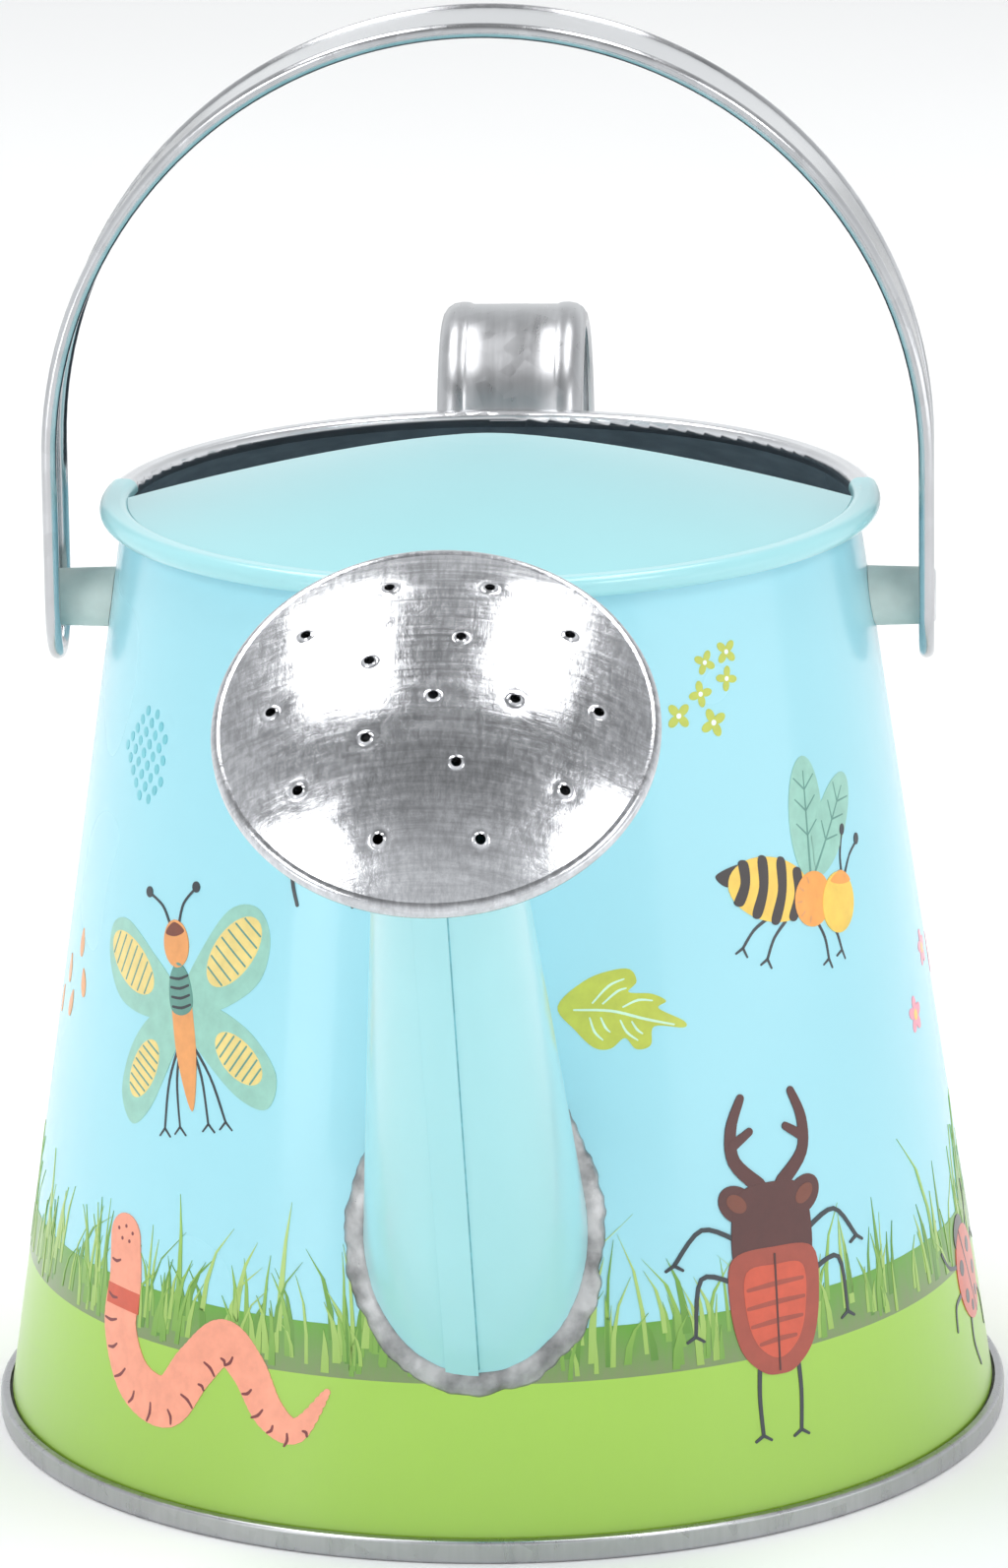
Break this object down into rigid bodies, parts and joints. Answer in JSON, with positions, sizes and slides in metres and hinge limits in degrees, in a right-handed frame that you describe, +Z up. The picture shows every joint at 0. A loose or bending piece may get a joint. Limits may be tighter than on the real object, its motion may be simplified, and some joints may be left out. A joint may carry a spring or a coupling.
{
  "type": "watering can",
  "caption": "Small tapered tin watering can with a swinging strip bail, a rear strip handle, a half cover over the mouth and a domed pull-off rose on a straight spout.",
  "frame": {"origin": "centre of the base, on the surface that the can rests on", "axes": "+Z up along the body's axis, the spout points along -Y and the rear handle along +Y, +X is the pivot axis of the bail"},
  "size_m": [0.14, 0.2515, 0.1952],
  "materials": {
    "printed_tinplate": "printed and lacquered, gloss",
    "blue_enamel": "gloss enamel",
    "galvanised": "bright galvanised sheet",
    "bright_tinplate": "bright tinplate, fine circular brushing",
    "solder": "lumpy soft solder",
    "rivet_steel": "plated steel",
    "spacer_plastic": "matte moulded plastic",
    "seam_compound": "matte sealing compound"
  },
  "bodies": {
    "can": {"body_shell": "printed_tinplate", "base_pan": "galvanised", "base_seam_compound": "seam_compound", "front_cover": "blue_enamel", "spout_tube": "blue_enamel", "spout_solder": "solder", "rear_handle": "galvanised", "handle_solder_upper": "solder", "handle_solder_lower": "solder", "rivet_left": "rivet_steel", "rivet_right": "rivet_steel", "spacer_left": "spacer_plastic", "spacer_right": "spacer_plastic", "rivet_washer_left": "rivet_steel", "rivet_washer_right": "rivet_steel"},
    "rose": {"rose_neck": "galvanised", "rose_funnel": "galvanised", "rose_solder": "solder", "rose_face": "bright_tinplate"},
    "bail": {"bail_handle": "galvanised"}
  },
  "joints": [
    {"name": "bail_swing", "type": "hinge", "parent": "can", "child": "bail", "pos_m": [0, 0, 0.1147], "axis": [1, 0, 0], "range_deg": [-62, 105]},
    {"name": "rose_pull", "type": "slide", "parent": "can", "child": "rose", "axis": [0, -0.6293, 0.7771], "range_m": [0, 0.035]}
  ]
}
